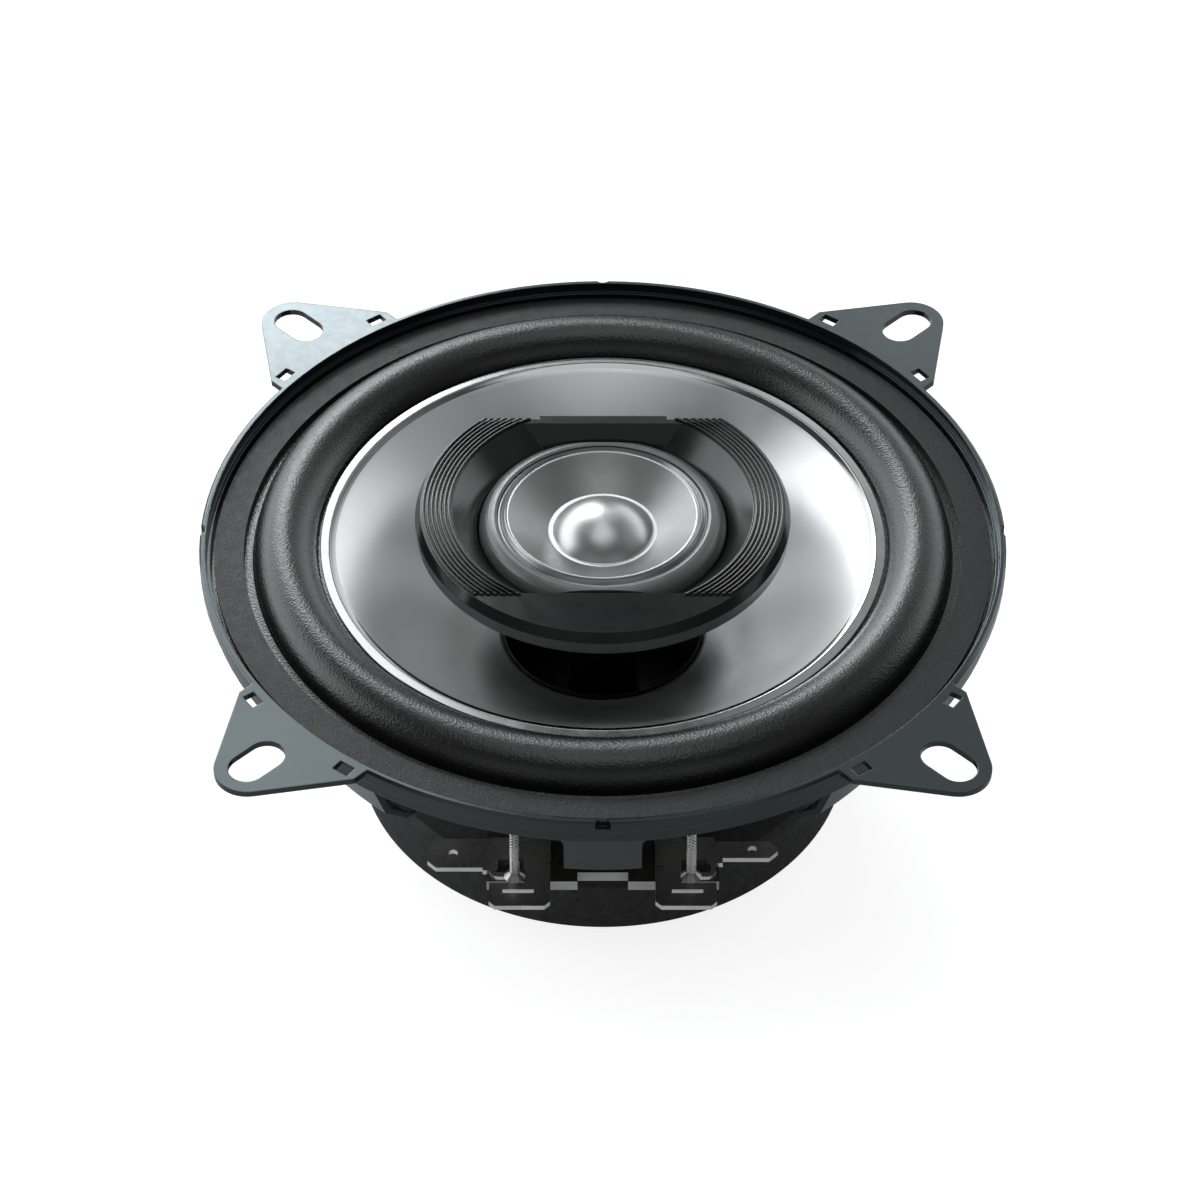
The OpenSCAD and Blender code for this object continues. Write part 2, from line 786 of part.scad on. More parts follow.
basket();
gasket();
top_plate();
magnet();
back_plate();
plate_rivets();
surround();
spider();
terminal_board();
board_rivets();
terminal_positive();
terminal_negative();
solder_joints();
tinsel_lead_positive();
tinsel_lead_negative();
tweeter_post();
post_nut();
capacitor();
tweeter_base();
tweeter_cover();
tweeter_face();
tweeter_yoke();
tweeter_magnet();
tweeter_pole_plate();
tweeter_edge();
tweeter_leads();
cone();
coil_former();
voice_coil();
lead_pads();
cone_eyelets();
tweeter_cone();
tweeter_dome();
tweeter_former();
tweeter_coil();
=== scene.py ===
import math

import bmesh
import bpy
import numpy as np
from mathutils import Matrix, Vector


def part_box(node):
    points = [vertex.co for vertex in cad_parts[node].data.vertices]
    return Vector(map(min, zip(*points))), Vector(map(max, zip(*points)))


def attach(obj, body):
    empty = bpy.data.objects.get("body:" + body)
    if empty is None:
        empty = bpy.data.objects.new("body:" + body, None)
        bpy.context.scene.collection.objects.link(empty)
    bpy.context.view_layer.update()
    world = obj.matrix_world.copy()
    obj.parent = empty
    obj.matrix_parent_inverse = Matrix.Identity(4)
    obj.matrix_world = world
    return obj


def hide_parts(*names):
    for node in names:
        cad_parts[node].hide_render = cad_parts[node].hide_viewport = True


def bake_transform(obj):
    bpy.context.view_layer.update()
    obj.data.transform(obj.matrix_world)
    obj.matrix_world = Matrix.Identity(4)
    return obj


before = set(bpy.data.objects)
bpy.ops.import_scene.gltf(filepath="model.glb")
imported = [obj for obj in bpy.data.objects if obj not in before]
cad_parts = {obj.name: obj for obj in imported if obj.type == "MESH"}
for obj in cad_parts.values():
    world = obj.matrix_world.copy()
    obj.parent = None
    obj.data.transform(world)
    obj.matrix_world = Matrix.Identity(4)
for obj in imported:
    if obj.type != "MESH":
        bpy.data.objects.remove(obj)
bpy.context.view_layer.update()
scene = bpy.context.scene
MM = 0.001
TURN = math.radians(45)            # from the terminals at -Y to the row frame
FRAME, CONE, DIAPHRAGM = "frame", "cone", "tweeter_diaphragm"


def turned(x, y, z):
    """A point of the row frame in metres, from millimetres with the terminals at -Y."""
    c, s = math.cos(TURN), math.sin(TURN)
    return Vector((x * c - y * s, x * s + y * c, z)) * MM


# ---------------------------------------------------------------- materials

class Nodes:
    """Short helpers that add nodes to a tree."""

    def __init__(self, tree, coordinates):
        self.tree = tree
        self.coord = self.node("ShaderNodeTexCoord").outputs[coordinates]

    def node(self, kind):
        return self.tree.nodes.new(kind)

    def link(self, a, b):
        self.tree.links.new(a, b)

    def split(self, vector):
        """The x, y and z of a vector."""
        n = self.node("ShaderNodeSeparateXYZ")
        self.link(vector, n.inputs[0])
        return n.outputs

    def scaled(self, x, y, z):
        n = self.node("ShaderNodeMapping")
        n.inputs["Scale"].default_value = (x, y, z)
        self.link(self.coord, n.inputs["Vector"])
        return n.outputs["Vector"]

    def noise(self, scale, detail=3.0, rough=0.55, vector=None):
        n = self.node("ShaderNodeTexNoise")
        n.inputs["Scale"].default_value = scale
        n.inputs["Detail"].default_value = detail
        n.inputs["Roughness"].default_value = rough
        self.link(vector or self.coord, n.inputs["Vector"])
        return n.outputs["Fac"]

    def cells(self, scale):
        n = self.node("ShaderNodeTexVoronoi")
        n.inputs["Scale"].default_value = scale
        self.link(self.coord, n.inputs["Vector"])
        return n.outputs["Distance"]

    def ramp(self, factor, low, high, start, end):
        """Runs from low to high, two colours or two greys, as the factor goes from start to end."""
        n = self.node("ShaderNodeValToRGB")
        for stop, position, value in zip(n.color_ramp.elements, (start, end), (low, high)):
            stop.position = position
            stop.color = (*value, 1.0) if isinstance(value, tuple) else (value, value, value, 1.0)
        self.link(factor, n.inputs["Fac"])
        return n.outputs["Color"]

    def math(self, operation, *values):
        n = self.node("ShaderNodeMath")
        n.operation = operation
        for socket, value in zip(n.inputs, values):
            if isinstance(value, (int, float)):
                socket.default_value = value
            else:
                self.link(value, socket)
        return n.outputs[0]

    def step(self, value, start, end):
        """0 before start and 1 after end, with a smooth change between them."""
        n = self.node("ShaderNodeMapRange")
        n.interpolation_type = "SMOOTHSTEP"
        n.inputs["From Min"].default_value = start
        n.inputs["From Max"].default_value = end
        self.link(value, n.inputs["Value"])
        return n.outputs["Result"]

    def radius(self):
        """Distance from the speaker's axis."""
        x, y, z = self.split(self.coord)
        return self.math("SQRT", self.math("ADD", self.math("MULTIPLY", x, x), self.math("MULTIPLY", y, y)))

    def height(self):
        x, y, z = self.split(self.coord)
        return z

    def waves(self, value, pitch):
        """A sine of value with that pitch, from -1 to 1."""
        return self.math("SINE", self.math("MULTIPLY", value, 2 * math.pi / pitch))


class Mat(Nodes):
    """A node material: one Principled shader and what feeds it. Values name the shader's own sockets."""

    def __init__(self, name, **values):
        self.material = bpy.data.materials.new(name)
        self.material.use_nodes = True
        super().__init__(self.material.node_tree, "Object")
        self.shader = self.tree.nodes["Principled BSDF"]
        for key, value in values.items():
            self.shader.inputs[key.replace("_", " ")].default_value = value

    def colour(self, factor, dark, light, start=0.3, end=0.7):
        self.link(self.ramp(factor, dark, light, start, end), self.shader.inputs["Base Color"])

    def rough(self, factor, low, high, start=0.3, end=0.7):
        self.link(self.ramp(factor, low, high, start, end), self.shader.inputs["Roughness"])

    def bump(self, height, strength, distance, rounded=0.0):
        """Fine relief; rounded softens the edges by that radius. Returns the finished material."""
        n = self.node("ShaderNodeBump")
        n.inputs["Strength"].default_value = strength
        n.inputs["Distance"].default_value = distance
        self.link(height, n.inputs["Height"])
        if rounded:
            bevel = self.node("ShaderNodeBevel")
            bevel.samples = 6
            bevel.inputs["Radius"].default_value = rounded
            self.link(bevel.outputs["Normal"], n.inputs["Normal"])
        self.link(n.outputs["Normal"], self.shader.inputs["Normal"])
        return self.material


def painted():
    m = Mat("basket_paint", Metallic=0.85, Coat_Weight=0.15, Coat_Roughness=0.12)
    m.colour(m.noise(60, 4), (0.042, 0.051, 0.054), (0.048, 0.059, 0.062))
    m.rough(m.noise(900, 2), 0.09, 0.13)
    return m.bump(m.noise(1400, 2), 0.04, 0.00002, 0.00018)


def felt():
    m = Mat("gasket_felt", Specular_IOR_Level=0.19)
    m.colour(m.noise(2600, 4, 0.7), (0.005, 0.005, 0.0055), (0.016, 0.016, 0.017), end=0.72)
    m.rough(m.noise(700, 2), 0.32, 0.42)
    return m.bump(m.noise(2800, 4, 0.7), 0.5, 0.00008)


def grained_rubber():
    m = Mat("surround_rubber", Specular_IOR_Level=0.48)
    m.colour(m.noise(300, 3), (0.004, 0.004, 0.0045), (0.007, 0.007, 0.0075))
    m.rough(m.noise(1500, 3), 0.20, 0.29)
    grain = m.math("ADD", m.math("MULTIPLY", m.cells(3300), 0.9), m.noise(4800, 3, 0.6))
    return m.bump(grain, 0.32, 0.00010)


def metallised():
    m = Mat("cone_metallised", Metallic=1.0)
    m.colour(m.noise(35, 3), (0.50, 0.505, 0.51), (0.56, 0.565, 0.57))
    m.rough(m.noise(160, 4), 0.30, 0.35)
    return m.bump(m.noise(900, 3), 0.06, 0.00003)


def bright_edge():
    m = Mat("cone_edge", Metallic=1.0)
    m.colour(m.noise(50, 3), (0.28, 0.28, 0.28), (0.32, 0.32, 0.32))
    m.rough(m.noise(400, 3), 0.09, 0.13)
    return m.bump(m.noise(1400, 3), 0.04, 0.00002)


def gloss_black(name, rough_low, rough_high):
    m = Mat(name, Specular_IOR_Level=0.5)
    m.colour(m.noise(120, 3), (0.004, 0.0045, 0.0045), (0.007, 0.008, 0.008))
    m.rough(m.noise(420, 2), rough_low, rough_high, start=0.2, end=0.8)
    return m.bump(m.noise(700, 2), 0.05, 0.00003, 0.00012)


def satin_grey():
    m = Mat("tweeter_face_grey", Metallic=0.3, Specular_IOR_Level=0.5)
    m.colour(m.noise(160, 4), (0.09, 0.094, 0.093), (0.12, 0.124, 0.123))
    m.rough(m.noise(800, 3), 0.3, 0.4)
    return m.bump(m.noise(2400, 3), 0.2, 0.00003)


def foil(name, tint, rough_low, rough_high, relief):
    m = Mat(name, Metallic=1.0)
    m.colour(m.noise(90, 3), tuple(0.93 * c for c in tint), tint)
    m.rough(m.noise(500, 3), rough_low, rough_high)
    return m.bump(m.noise(650, 3), relief, 0.00004)


def ferrite():
    m = Mat("magnet_ferrite", Specular_IOR_Level=0.25)
    m.colour(m.noise(900, 5, 0.7), (0.022, 0.022, 0.023), (0.045, 0.045, 0.047))
    m.rough(m.noise(300, 3), 0.62, 0.82)
    return m.bump(m.math("ADD", m.noise(1500, 5, 0.7), m.cells(420)), 0.25, 0.0001)


def turned_steel(name, tint, rough_low=0.3, rough_high=0.42):
    """Bright metal with the lathe's rings round the speaker's axis."""
    ring_pitch = 0.3 * MM
    m = Mat(name, Metallic=1.0)
    m.colour(m.noise(140, 4), tuple(0.86 * c for c in tint), tint)
    m.rough(m.noise(700, 3), rough_low, rough_high)
    rings = m.math("ADD", m.waves(m.radius(), ring_pitch), m.math("MULTIPLY", m.noise(1200, 3), 1.5))
    return m.bump(rings, 0.15, 0.00003)


# bright scales the tin's colour: the terminals' faces take a darker copy as painted shade, their cut edges a
# lighter copy as a painted highlight
def tinned(name, bright=1.0, rough_low=0.26, rough_high=0.33):
    m = Mat(name, Metallic=1.0)
    m.colour(m.noise(220, 4), tuple(bright * c for c in (0.58, 0.575, 0.565)),
             tuple(bright * c for c in (0.76, 0.755, 0.745)))
    m.rough(m.noise(1100, 4, vector=m.scaled(1, 0.15, 1)), rough_low, rough_high)
    return m.bump(m.noise(1600, 3), 0.15, 0.00003)


def board_laminate():
    m = Mat("board_laminate", Specular_IOR_Level=0.4)
    m.colour(m.noise(1500, 4, vector=m.scaled(1, 0.3, 1)), (0.02, 0.018, 0.016), (0.045, 0.04, 0.035))
    m.rough(m.noise(500, 3), 0.5, 0.68)
    return m.bump(m.noise(2000, 3), 0.2, 0.00004)


def woven_cloth(name, dark, light):
    thread_pitch = 0.55 * MM
    m = Mat(name, Specular_IOR_Level=0.2)
    x, y, z = m.split(m.coord)
    weave = m.math("MULTIPLY", m.waves(x, thread_pitch), m.waves(y, thread_pitch))
    m.colour(m.math("ADD", m.math("MULTIPLY", weave, 0.35), m.noise(900, 3)), dark, light, 0.25, 0.75)
    m.rough(m.noise(900, 2), 0.75, 0.95)
    return m.bump(weave, 0.6, 0.00012)


# Near black: painted shade on the coil formers in the neck under the tweeter's housing
def former_film_painted_shade():
    m = Mat("former_film_painted_shade", Specular_IOR_Level=0.15)
    m.colour(m.noise(200, 3), (0.005, 0.0048, 0.0045), (0.010, 0.0095, 0.009))
    m.rough(m.noise(500, 3), 0.6, 0.75)
    return m.bump(m.noise(800, 2), 0.1, 0.00003)


def copper_winding():
    wire_pitch = 0.18 * MM
    m = Mat("coil_copper", Metallic=1.0)
    turns = m.waves(m.height(), wire_pitch)
    m.colour(m.math("ADD", m.math("MULTIPLY", turns, 0.3), m.noise(300, 3)),
             (0.36, 0.13, 0.05), (0.72, 0.33, 0.16), 0.2, 0.8)
    m.rough(m.noise(600, 3), 0.25, 0.38)
    return m.bump(turns, 0.6, 0.00005)


def plain_plastic(name, dark, light):
    m = Mat(name, Specular_IOR_Level=0.45)
    m.colour(m.noise(260, 4), dark, light)
    m.rough(m.noise(700, 3), 0.4, 0.55)
    return m.bump(m.noise(1500, 3), 0.15, 0.00004)


M = {
    "paint": painted(),
    "felt": felt(),
    "rubber": grained_rubber(),
    "cone": metallised(),
    "edge": bright_edge(),
    "housing": gloss_black("housing_gloss", 0.09, 0.12),
    "recess": gloss_black("recess_satin", 0.20, 0.24),
    "face": satin_grey(),
    "dome": foil("dome_foil", (0.40, 0.405, 0.405), 0.30, 0.35, 0.02),
    "small_cone": foil("tweeter_cone_foil", (0.22, 0.225, 0.222), 0.36, 0.42, 0.06),
    "small_edge": foil("tweeter_edge_film", (0.26, 0.265, 0.265), 0.28, 0.38, 0.15),
    "ferrite": ferrite(),
    "steel": turned_steel("plated_steel", (0.55, 0.54, 0.50)),
    "rivet": turned_steel("rivet_steel", (0.62, 0.62, 0.61)),
    "nut": turned_steel("nut_zinc", (0.60, 0.57, 0.48)),
    # post and pole near black: painted shade in the neck under the tweeter's housing
    "post": turned_steel("post_steel_painted_shade", (0.05, 0.05, 0.052), 0.4, 0.55),
    "pole": turned_steel("pole_painted_shade", (0.012, 0.012, 0.012), 0.5, 0.65),
    # terminal faces darkened as painted shade; cut edges lightened as a painted highlight
    "tin": tinned("terminal_face_painted_shade", 0.36),
    "tin_cut_painted_highlight": tinned("terminal_cut_painted_highlight", 1.28),
    "board_cut": plain_plastic("board_cut_edge", (0.42, 0.42, 0.41), (0.52, 0.52, 0.51)),
    "solder": tinned("solder_tin", 0.4),
    "braid": tinned("tinsel_braid", 1.0, 0.18, 0.38),
    "board": board_laminate(),
    "spider": woven_cloth("spider_cloth", (0.30, 0.20, 0.07), (0.50, 0.36, 0.15)),
    "film": former_film_painted_shade(),
    "copper": copper_winding(),
    "glue": gloss_black("glue_black", 0.25, 0.4),
    "brass": turned_steel("eyelet_brass", (0.72, 0.55, 0.25)),
    "sleeve": plain_plastic("capacitor_sleeve", (0.008, 0.014, 0.04), (0.014, 0.026, 0.07)),
    "wire": plain_plastic("wire_jacket", (0.008, 0.008, 0.008), (0.016, 0.016, 0.016)),
    "neodymium": turned_steel("magnet_nickel", (0.66, 0.65, 0.63)),
}

NODE_MATERIALS = {
    "basket": "paint", "gasket": "felt", "top_plate": "steel", "magnet": "ferrite", "back_plate": "steel",
    "plate_rivets": "rivet", "surround": "rubber", "spider": "spider", "terminal_board": "board",
    "board_rivets": "rivet", "terminal_positive": "tin", "terminal_negative": "tin",
    "solder_joints": "solder", "tinsel_lead_positive": "braid", "tinsel_lead_negative": "braid",
    "tweeter_post": "post", "post_nut": "nut", "capacitor": "sleeve", "tweeter_base": "housing",
    "tweeter_cover": "housing", "tweeter_face": "face", "tweeter_yoke": "steel",
    "tweeter_magnet": "neodymium", "tweeter_pole_plate": "steel", "tweeter_edge": "small_edge",
    "tweeter_leads": "wire", "cone": "cone", "coil_former": "film", "voice_coil": "copper",
    "lead_pads": "glue", "cone_eyelets": "brass", "tweeter_cone": "small_cone", "tweeter_dome": "dome",
    "tweeter_former": "film", "tweeter_coil": "copper",
}
for name, key in NODE_MATERIALS.items():
    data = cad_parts[name].data
    data.materials.clear()
    data.materials.append(M[key])


def repaint(node, key, chosen):
    """A second material on the faces of a CAD object that chosen picks."""
    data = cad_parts[node].data
    data.materials.append(M[key])
    data.polygons.foreach_set("material_index", [1 if chosen(face) else 0 for face in data.polygons])


def from_axis(point):
    return math.hypot(point.x, point.y)


def cut_edge(face):
    """A wall of a stamped or punched sheet."""
    return abs(face.normal.z) <= 0.7


def pole_face(face):
    """The pole inside the coil."""
    coil_inside = 13.0 * MM
    return from_axis(face.center) < coil_inside and face.center.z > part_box("magnet")[0].z


def recess_face(face):
    """The walls of the cover's recess, which look towards the axis."""
    recess_outside = 19.3 * MM
    inwards = face.center.x * face.normal.x + face.center.y * face.normal.y
    return inwards < -0.2 * from_axis(face.center) and from_axis(face.center) < recess_outside


# the terminals' cut edges take the lighter tin: a painted highlight beside the faces' painted shade
repaint("terminal_positive", "tin_cut_painted_highlight", cut_edge)
repaint("terminal_negative", "tin_cut_painted_highlight", cut_edge)
repaint("terminal_board", "board_cut", cut_edge)
# the pole inside the coil takes the near-black copy of the steel: painted shade
repaint("back_plate", "pole", pole_face)
repaint("tweeter_cover", "recess", recess_face)


# ---------------------------------------------------------------- mesh helpers


def new_mesh(name, verts, faces, materials, face_material=None):
    """A smooth object from points in metres in the row frame."""
    mesh = bpy.data.meshes.new(name)
    mesh.from_pydata([tuple(v) for v in verts], [], faces)
    for m in materials:
        mesh.materials.append(m)
    mesh.polygons.foreach_set("use_smooth", [True] * len(mesh.polygons))
    if face_material is not None:
        mesh.polygons.foreach_set("material_index", face_material)
    mesh.validate()
    mesh.update()
    o = bpy.data.objects.new(name, mesh)
    scene.collection.objects.link(o)
    return o


def mark_sharp(o, degrees):
    """Faces outwards, and edges sharper than that angle shown as edges."""
    bm = bmesh.new()
    bm.from_mesh(o.data)
    bmesh.ops.recalc_face_normals(bm, faces=bm.faces)
    limit = math.radians(degrees)
    for e in bm.edges:
        e.smooth = len(e.link_faces) == 2 and e.calc_face_angle(0) < limit
    bm.to_mesh(o.data)
    bm.free()


def revolved(name, profile, materials, a0=0.0, a1=360.0, steps=256, sharp=30.0, material_of=None,
             capped=False):
    """A closed profile of (r, z) points in millimetres turned about Z, from a0 to a1 degrees.
    material_of has a material's index for each side of the profile. capped closes the ends of a part turn."""
    n = len(profile)
    full = abs(a1 - a0 - 360.0) < 1e-6
    rows = steps if full else steps + 1
    verts = []
    for i in range(rows):
        a = math.radians(a0 + (a1 - a0) * i / steps)
        c, s = math.cos(a), math.sin(a)
        verts += [(r * c * MM, r * s * MM, z * MM) for r, z in profile]
    faces, index = [], []
    for i in range(steps):
        j = (i + 1) % rows
        for k in range(n):
            k2 = (k + 1) % n
            faces.append((i * n + k, j * n + k, j * n + k2, i * n + k2))
            index.append(material_of[k] if material_of else 0)
    if capped:
        faces += [tuple(range(n)), tuple(steps * n + k for k in range(n))[::-1]]
        index += [0, 0]
    o = new_mesh(name, verts, faces, materials, index)
    mark_sharp(o, sharp)
    return o


def stands_for(o, node, body=None):
    """Shows an object in place of a CAD node, and attaches it to the body if one is given."""
    if body:
        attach(o, body)
    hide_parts(node)


def thick_line(points, thickness):
    """A closed profile of that thickness about a line of (r, z) points that runs inwards."""
    above, below = [], []
    for i, (r, z) in enumerate(points):
        a, b = points[max(i - 1, 0)], points[min(i + 1, len(points) - 1)]
        dr, dz = b[0] - a[0], b[1] - a[1]
        size = math.hypot(dr, dz)
        nr, nz = dz / size * thickness / 2, -dr / size * thickness / 2
        above.append((r + nr, z + nz))
        below.append((r - nr, z - nz))
    return above + below[::-1]


def along(points, steps):
    """Places at even steps along a smooth line through the points."""
    p = [Vector(q) for q in points]
    n = len(p) - 1
    places = []
    for k in range(steps + 1):
        u = k / steps * n
        i = min(int(u), n - 1)
        t = u - i
        a, b, c, d = p[max(i - 1, 0)], p[i], p[i + 1], p[min(i + 2, n)]
        bend = (2 * a - 5 * b + 4 * c - d) * t * t + (3 * b - a - 3 * c + d) * t ** 3
        places.append(0.5 * (2 * b + (c - a) * t + bend))
    return places


def strand(centres, radius, verts, faces, sides):
    """Adds one closed round strand along the centres."""
    base = len(verts)
    n = len(centres)
    up = Vector((0.3, 0.9, 0.2)).normalized()
    for k, c in enumerate(centres):
        d = (centres[min(k + 1, n - 1)] - centres[max(k - 1, 0)]).normalized()
        u = d.cross(up).normalized()
        v = d.cross(u)
        for q in range(sides):
            a = 2 * math.pi * q / sides
            verts.append(c + radius * (u * math.cos(a) + v * math.sin(a)))
    for k in range(n - 1):
        for q in range(sides):
            a, b = base + k * sides + q, base + k * sides + (q + 1) % sides
            faces.append((a, b, b + sides, a + sides))
    faces.append(tuple(base + q for q in range(sides))[::-1])
    faces.append(tuple(base + (n - 1) * sides + q for q in range(sides)))


# ---------------------------------------------------------------- suspension of the cone

def flexing_ring(node, profile, material, sectors, steps):
    """A ring cut into sectors, each turned from the profile on its own; neighbours share their edges' points,
    so no gap opens."""
    turn = 360.0 / sectors
    for k in range(sectors):
        o = revolved("%s_%02d" % (node, k + 1), profile, [M[material]], k * turn, (k + 1) * turn, steps)
        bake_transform(o)
        stands_for(o, node)


def surround_profile():
    """Flange, half roll and foot, in millimetres."""
    middle, roll, thickness, fillet = 40.1, 3.95, 0.5, 0.5
    flange_z, foot_z = -1.975, -1.07
    line = [(49.4, flange_z), (45.6, flange_z)]
    line += [(middle + roll + fillet * (1 - t) ** 2, flange_z + fillet * t ** 2)
             for t in (0.15, 0.4, 0.65, 0.85)]
    begin = math.degrees(math.asin(fillet / roll))
    end = 180 - math.degrees(math.asin((foot_z - flange_z) / roll))
    line += [(middle + roll * math.cos(math.radians(a)), flange_z + roll * math.sin(math.radians(a)))
             for a in np.linspace(begin, end, 34)]
    line += [(35.9, foot_z - 0.01), (35.2, foot_z - 0.02), (34.5, foot_z - 0.02)]
    return thick_line(line, thickness)


def spider_profile():
    """Flange, waves and the collar on the coil's former, in millimetres."""
    middle_z, thickness = -18.475, 0.45
    waves, wave_h, waves_outside, waves_width = 4, 0.7, 25.2, 11.3
    line = [(31.5, middle_z), (28.5, middle_z), (25.4, middle_z)]
    line += [(waves_outside - t * waves_width, middle_z + wave_h * math.sin(2 * math.pi * waves * t))
             for t in np.linspace(0, 1, 49)]
    line += [(13.45, middle_z + 0.06), (13.15, middle_z + 0.35), (13.12, middle_z + 0.8)]
    return thick_line(line, thickness)


flexing_ring("surround", surround_profile(), "rubber", sectors=48, steps=8)
flexing_ring("spider", spider_profile(), "spider", sectors=24, steps=6)


# ---------------------------------------------------------------- cone and leads

def make_cone():
    """A slightly curved cone with a flat bright edge."""
    top_r, top_z, width, depth, curve = 34.4, -0.45, 21.5, 16.4, 0.15
    outer_r, bevel_r, bevel_z, thickness, steps = 35.8, 0.1, 0.07, 0.4, 40
    low_z = top_z - thickness
    edge = [(top_r, low_z), (outer_r - bevel_r, low_z), (outer_r, low_z + bevel_z),
            (outer_r, top_z - bevel_z), (outer_r - bevel_r, top_z), (34.8, top_z), (34.62, top_z - 0.001),
            (34.5, top_z - 0.02)]
    upper = [(top_r - t * width, top_z - depth * (t - curve * t * (1 - t)))
             for t in (k / steps for k in range(1, steps + 1))]
    lower = [(r, z - thickness) for r, z in upper][::-1]
    profile = edge + upper + lower
    on_edge = [1] * len(edge) + [0] * (len(profile) - len(edge))
    o = revolved("cone_metal", profile, [M["cone"], M["edge"]], sharp=24, material_of=on_edge)
    stands_for(o, "cone", CONE)


def make_lead(node, side):
    """A braided lead: strands wound both ways round a core, from the pad under the cone to the solder."""
    lead_x = 10.75
    route = [(-15.6, -14.7), (-15.66, -15.4), (-17, -16.25), (-20.5, -16.35), (-25, -15.2), (-30, -13.2),
             (-35, -11.9), (-38.6, -12.2), (-40.7, -13.8), (-41.3, -16), (-41.35, -18.1)]
    core_r, strand_r, wound_r, over_under = 0.44, 0.125, 0.49, 0.03
    strands, turns, steps = 5, 15, 260
    line = along([turned(side * lead_x, y, z) for y, z in route], steps)
    across = turned(1, 0, 0).normalized()
    verts, faces = [], []
    strand(line, core_r * MM, verts, faces, 8)
    for way in (-1, 1):
        for j in range(strands):
            centres = []
            for k, c in enumerate(line):
                d = (line[min(k + 1, steps)] - line[max(k - 1, 0)]).normalized()
                v = d.cross(across).normalized()
                angle = way * 2 * math.pi * turns * k / steps + 2 * math.pi * j / strands
                lift = wound_r + over_under * math.cos(strands * angle)
                centres.append(c + MM * lift * (across * math.cos(angle) + v * math.sin(angle)))
            strand(centres, strand_r * MM, verts, faces, 5)
    o = new_mesh(node + "_braid", verts, faces, [M["braid"]])
    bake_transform(o)
    stands_for(o, node)


def make_tweeter_lead(side):
    """A wire from the cone's eyelet to the tweeter's housing."""
    route = [(6, 16, -10.85), (6, 16.2, -9.6), (5.9, 15.2, -8.5), (5.6, 13, -7.9), (5.2, 11.3, -6.9),
             (5.2, 11, -4.8)]
    wire_r, steps = 0.4, 60
    verts, faces = [], []
    strand(along([turned(side * x, y, z) for x, y, z in route], steps), wire_r * MM, verts, faces, 12)
    o = new_mesh("tweeter_lead_%s" % ("right" if side > 0 else "left"), verts, faces, [M["wire"]])
    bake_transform(o)
    stands_for(o, "tweeter_leads")


make_cone()
make_lead("tinsel_lead_positive", -1)
make_lead("tinsel_lead_negative", 1)
make_tweeter_lead(-1)
make_tweeter_lead(1)


# ---------------------------------------------------------------- tweeter

DOME_FOOT = (6.9, 0.7)             # where the tweeter's cone and dome meet, (r, z)
CONE_RIM = (11.8, 3.45)            # where the tweeter's cone and edge meet
FOIL = 0.12


def make_tweeter_cone():
    """A shallow, slightly sagging cone."""
    sag, steps = 0.10, 24
    upper = [(CONE_RIM[0] - t * (CONE_RIM[0] - DOME_FOOT[0]),
              CONE_RIM[1] - t * (CONE_RIM[1] - DOME_FOOT[1]) - sag * math.sin(math.pi * t))
             for t in (k / steps for k in range(steps + 1))]
    profile = upper + [(r, z - FOIL) for r, z in upper][::-1]
    o = revolved("tweeter_cone_foil", profile, [M["small_cone"]], steps=192)
    stands_for(o, "tweeter_cone", DIAPHRAGM)


def make_tweeter_dome():
    """A cap of a ball with a flat foot."""
    r, high, tip_r, steps = 6.4, 3.0, 0.02, 32
    foot_r, foot_z = DOME_FOOT
    ball = (r * r + high * high) / (2 * high)
    cap = math.asin(r / ball)
    upper = [(ball * math.sin(cap * (1 - t)), foot_z + high - ball + ball * math.cos(cap * (1 - t)))
             for t in (k / steps for k in range(steps))]
    inside = [(q - 0.1 * q / r, z - FOIL) for q, z in upper]
    profile = [(foot_r, foot_z - FOIL), (foot_r, foot_z), (6.55, foot_z)] + upper
    profile += [(tip_r, foot_z + high), (tip_r, foot_z + high - FOIL)]
    profile += inside[:0:-1] + [(6.28, foot_z - FOIL)]
    o = revolved("tweeter_dome_foil", profile, [M["dome"]], steps=192, sharp=50)
    stands_for(o, "tweeter_dome", DIAPHRAGM)


def make_tweeter_edge():
    """The diaphragm's suspension: a thin ring with fine grooves."""
    profile = [(13.25, 2.9), (13.25, 3.12), (13.05, 3.2), (12.95, 3.34), (12.82, 3.24), (12.7, 3.38),
               (12.58, 3.52), (12.46, 3.40), (12.34, 3.47), (12.22, 3.60), (12.10, 3.47), (11.98, 3.50),
               CONE_RIM, (11.8, 3.33), (12.2, 3.3), (12.3, 2.9)]
    flexing_ring("tweeter_edge", profile, "small_edge", sectors=12, steps=16)


def make_ribs():
    """Rounded crests on the ribs of the tweeter's cover, on both sides of its straight walls."""
    count, r_in, r_out, gap, half_width = 7, 19.2, 23.0, 0.22, 16.1
    top, sunk, crest = 5.0, 0.03, 0.15
    pitch = (r_out - r_in) / count
    for side, half_turn in (("right", 0), ("left", 180)):
        for i in range(count):
            low, high = r_out - (i + 1) * pitch, r_out - i * pitch - gap
            middle, half = (low + high) / 2, (high - low) / 2
            arch = [(middle + half * math.cos(math.radians(a)),
                     top - sunk + crest * math.sin(math.radians(a))) for a in range(0, 181, 20)]
            reach = math.degrees(math.asin(half_width / middle))
            facing = math.degrees(TURN) + half_turn
            o = revolved("tweeter_rib_%d_%s" % (i + 1, side), arch, [M["housing"]],
                         facing - reach, facing + reach, 64, sharp=60, capped=True)
            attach(o, FRAME)


make_tweeter_cone()
make_tweeter_dome()
make_tweeter_edge()
make_ribs()


# ---------------------------------------------------------------- stage, light and camera

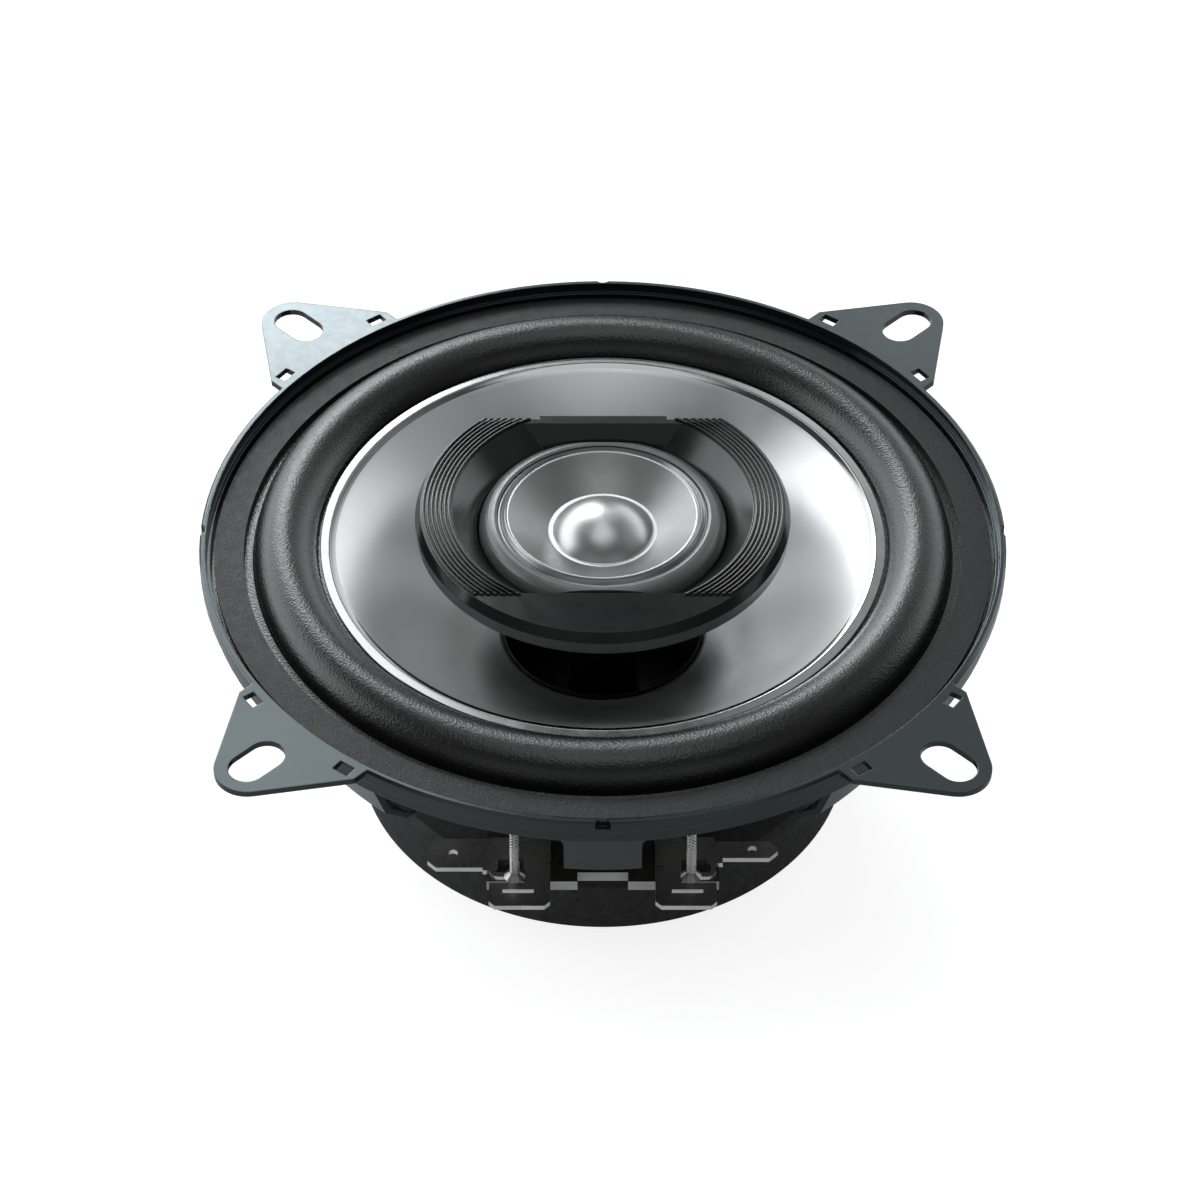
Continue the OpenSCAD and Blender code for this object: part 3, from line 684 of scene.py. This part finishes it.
# Studio panels round the speaker, by direction in degrees: azimuth 0 is straight behind it and positive
# to the right, as seen from the terminal side.
# azimuth from and to, softness; elevation from and to, softness; radiance
PANELS = (
    (-100, -29, 3, -8, 43, 3, 3.0),
    (-29, -5, 3, -8, 28, 2, 3.0),
    (-30, -3.2, 1, 27, 40.3, 1, 13.0),
    (-26, -3.2, 1, 41.5, 51, 2, 3.4),
    (3, 18, 1, 32, 41, 1.5, 1.8),
    (3, 30, 1.5, 42, 54, 2, 0.7),
    (12, 75, 10, -10, 32, 12, 1.9),
    (30, 110, 15, 30, 60, 10, 0.35),
    (-3.2, 3, 1, 37.8, 39.7, 0.4, 1.8),
    (-26, 18, 8, 56, 74, 6, 1.2),
    (-180, 180, 1, 72, 95, 5, 1.5),
    (130, 179, 15, 15, 45, 12, 0.5),
    (-179, -130, 15, 15, 45, 12, 0.5),
)
BASE_LIGHT = 0.10


def world_lights():
    world = bpy.data.worlds.new("world")
    scene.world = world
    world.use_nodes = True
    n = Nodes(world.node_tree, "Generated")
    turn = n.node("ShaderNodeVectorRotate")
    turn.rotation_type = "Z_AXIS"
    turn.inputs["Angle"].default_value = -TURN
    n.link(n.coord, turn.inputs["Vector"])
    x, y, z = n.split(turn.outputs[0])
    azimuth = n.math("MULTIPLY", n.math("ARCTAN2", x, y), 180 / math.pi)
    elevation = n.math("MULTIPLY", n.math("ARCSINE", z), 180 / math.pi)
    total = BASE_LIGHT
    for a0, a1, soft_a, e0, e1, soft_e, level in PANELS:
        lit = level
        for angle, start, end, soft in ((azimuth, a0, a1, soft_a), (elevation, e0, e1, soft_e)):
            lit = n.math("MULTIPLY", n.step(angle, start - soft, start + soft), lit)
            lit = n.math("MULTIPLY", n.step(angle, end + soft, end - soft), lit)
        total = n.math("ADD", lit, total)
    background = world.node_tree.nodes["Background"]
    n.link(total, background.inputs["Strength"])
    background.inputs["Color"].default_value = (0.97, 0.99, 1.0, 1.0)


def make_floor():
    """A floor that looks white and throws little light upwards."""
    size, clearance = 8, 0.05 * MM      # the speaker stands just clear of it
    seen_emission, emission = 0.74, 0.09
    bpy.ops.mesh.primitive_plane_add(size=size, location=(0, 0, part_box("back_plate")[0].z - clearance))
    floor = bpy.context.object
    floor.name = "floor"
    m = Mat("floor_white", Specular_IOR_Level=0.1)
    m.colour(m.noise(3, 3), 0.40, 0.44)
    m.rough(m.noise(20, 2), 0.8, 0.9)
    m.shader.inputs["Emission Color"].default_value = (1, 1, 1, 1)
    seen = m.node("ShaderNodeLightPath").outputs["Is Camera Ray"]
    strength = m.math("ADD", m.math("MULTIPLY", seen, seen_emission), emission)
    m.link(strength, m.shader.inputs["Emission Strength"])
    floor.data.materials.append(m.material)


def make_camera():
    """The photo's camera: high in front of the terminals."""
    place, looks_down, aside = (-0.29, -339.8, 307.6), 43.20, 0.01
    lens = bpy.data.cameras.new("camera")
    lens.sensor_width = 36
    lens.lens = 108.4
    camera = bpy.data.objects.new("camera", lens)
    scene.collection.objects.link(camera)
    camera.location = turned(*place)
    camera.rotation_euler = (math.radians(90 - looks_down), 0, TURN + math.radians(aside))
    scene.camera = camera


world_lights()
make_floor()
make_camera()
scene.view_settings.view_transform = "Standard"
